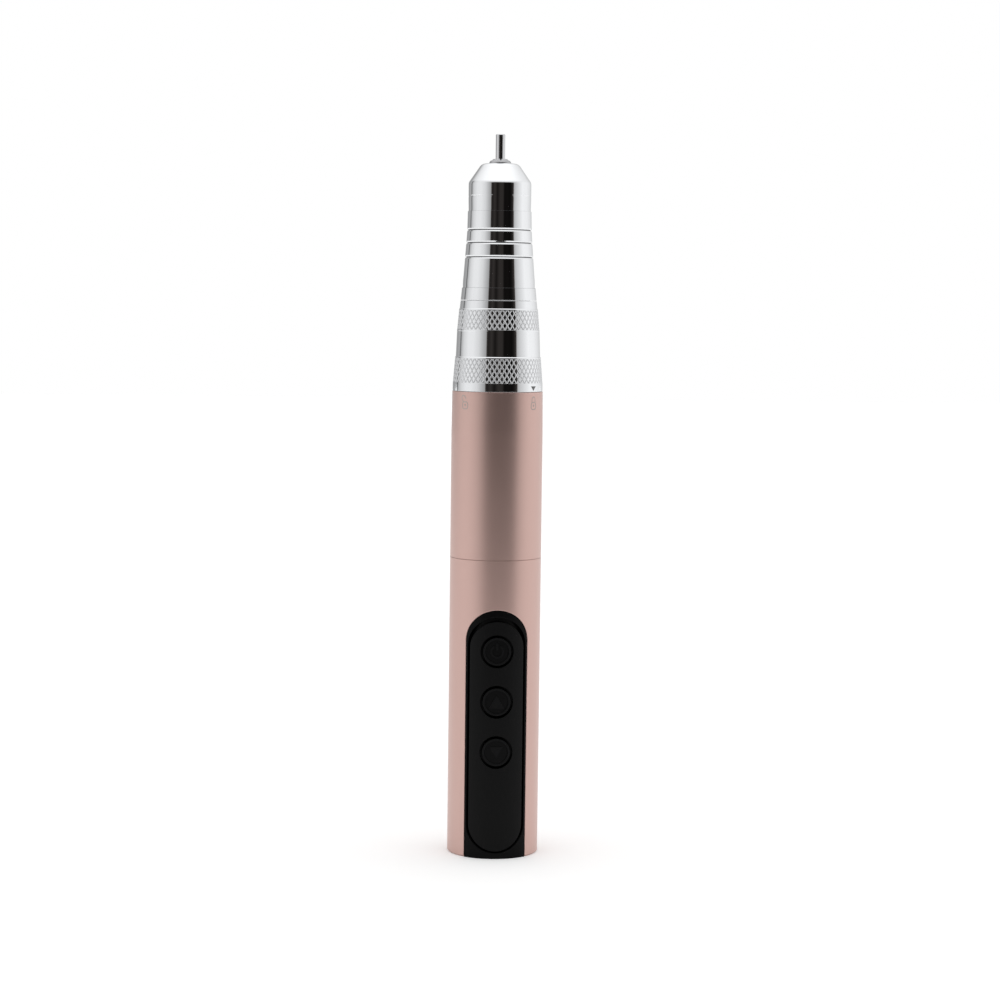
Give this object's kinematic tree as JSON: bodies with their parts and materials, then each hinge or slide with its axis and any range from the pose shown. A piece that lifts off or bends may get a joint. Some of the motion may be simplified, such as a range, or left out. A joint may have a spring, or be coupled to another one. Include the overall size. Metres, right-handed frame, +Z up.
{
  "type": "electric nail drill",
  "caption": "Pen-shaped cordless nail drill with a slotted black button panel, a knurled twist sleeve that opens the chuck and a tapered nose holding a pin.",
  "frame": {"origin": "centre of the base, on the surface the drill stands on", "axes": "+Z up along the drill's axis, from the base to the chuck; the button panel faces -Y"},
  "size_m": [0.023, 0.023, 0.1812],
  "materials": {
    "anodised_rose": "satin anodised rose gold",
    "panel_black": "satin black",
    "plate_black": "fine matte black",
    "button_black": "matte black",
    "polished_steel": "mirror polished",
    "tool_steel": "ground",
    "pin_steel": "ground",
    "bearing_steel": "polished",
    "spring_steel": "drawn",
    "screw_steel": "black oxide",
    "plated_steel": "zinc plated",
    "usb_plating": "satin plated",
    "inner_plastic": "moulded",
    "aluminium_inner": "turned",
    "cell_wrap": "shrink wrap",
    "nickel": "plain",
    "board_green": "solder mask",
    "chip_black": "moulded",
    "plunger_plastic": "moulded",
    "magnet": "sintered",
    "core_steel": "stacked sheet",
    "copper": "bare copper",
    "bronze": "sintered bronze",
    "wire_red": "insulation",
    "wire_black": "insulation"
  },
  "bodies": {
    "casing": {"battery_cell": "cell_wrap", "battery_cradle": "inner_plastic", "battery_tab_negative": "nickel", "battery_tab_positive": "nickel", "bearing_spacer": "tool_steel", "brush_left": "copper", "brush_right": "copper", "controller_chip": "chip_black", "detent_ball": "bearing_steel", "detent_spring": "spring_steel", "end_cap": "panel_black", "end_cap_screws": "screw_steel", "face_plate": "plate_black", "front_bearing_outer": "bearing_steel", "joint_ring": "aluminium_inner", "lower_tube": "anodised_rose", "main_board": "board_green", "motor_bush_front": "bronze", "motor_bush_rear": "bronze", "motor_can": "plated_steel", "motor_end_bell": "inner_plastic", "motor_magnets": "magnet", "motor_mount": "aluminium_inner", "motor_screws": "screw_steel", "motor_wire_black": "wire_black", "motor_wire_red": "wire_red", "nose_cone": "polished_steel", "panel_frame": "panel_black", "rear_bearing_outer": "bearing_steel", "spindle_housing": "tool_steel", "switch_bodies": "chip_black", "upper_tube": "anodised_rose", "usb_shell": "usb_plating", "usb_tongue": "inner_plastic"},
    "twist": {"twist_sleeve": "polished_steel"},
    "release": {"release_collar": "tool_steel", "cam_pins": "tool_steel"},
    "spindle": {"spindle_tube": "tool_steel", "spindle_coupling": "tool_steel", "motor_coupling": "tool_steel", "motor_shaft": "tool_steel", "armature_core": "core_steel", "armature_windings": "copper", "commutator": "copper", "rear_bearing_inner": "bearing_steel", "front_bearing_inner": "bearing_steel", "collet_spring": "spring_steel"},
    "balls": {"bearing_balls": "bearing_steel"},
    "collet": {"collet": "tool_steel", "drawbar": "tool_steel", "cross_pin": "tool_steel", "thrust_ring": "tool_steel"},
    "pin": {"bit_pin": "pin_steel"},
    "power_button": {"button_power": "button_black", "plunger_power": "plunger_plastic"},
    "up_button": {"button_up": "button_black", "plunger_up": "plunger_plastic"},
    "down_button": {"button_down": "button_black", "plunger_down": "plunger_plastic"}
  },
  "joints": [
    {"name": "sleeve_twist", "type": "hinge", "parent": "casing", "child": "twist", "pos_m": [0, 0, 0.1284], "axis": [0, 0, 1], "range_deg": [-97, 0]},
    {"name": "collar_slide", "type": "slide", "parent": "casing", "child": "release", "axis": [0, 0, 1], "range_m": [0, 0.0008]},
    {"name": "spindle_spin", "type": "hinge", "parent": "casing", "child": "spindle", "pos_m": [0, 0, 0.14], "axis": [0, 0, 1], "continuous": true},
    {"name": "ball_spin", "type": "hinge", "parent": "casing", "child": "balls", "pos_m": [0, 0, 0.14], "axis": [0, 0, 1], "continuous": true},
    {"name": "collet_slide", "type": "slide", "parent": "spindle", "child": "collet", "axis": [0, 0, 1], "range_m": [0, 0.0008], "deforming": ["collet_spring"]},
    {"name": "pin_pull", "type": "slide", "parent": "collet", "child": "pin", "axis": [0, 0, 1], "range_m": [0, 0.025]},
    {"name": "power_press", "type": "slide", "parent": "casing", "child": "power_button", "axis": [0, 1, 0], "range_m": [0, 0.0003], "stiffness_N_per_m": 4000, "springref_m": -0.0001},
    {"name": "up_press", "type": "slide", "parent": "casing", "child": "up_button", "axis": [0, 1, 0], "range_m": [0, 0.0003], "stiffness_N_per_m": 4000, "springref_m": -0.0001},
    {"name": "down_press", "type": "slide", "parent": "casing", "child": "down_button", "axis": [0, 1, 0], "range_m": [0, 0.0003], "stiffness_N_per_m": 4000, "springref_m": -0.0001}
  ],
  "couplings": [
    {"joint": "collar_slide", "follows": "sleeve_twist", "m_per_rad": -0.00047254},
    {"joint": "collet_slide", "follows": "sleeve_twist", "m_per_rad": -0.00047254},
    {"joint": "ball_spin", "follows": "spindle_spin", "ratio": 0.4}
  ]
}
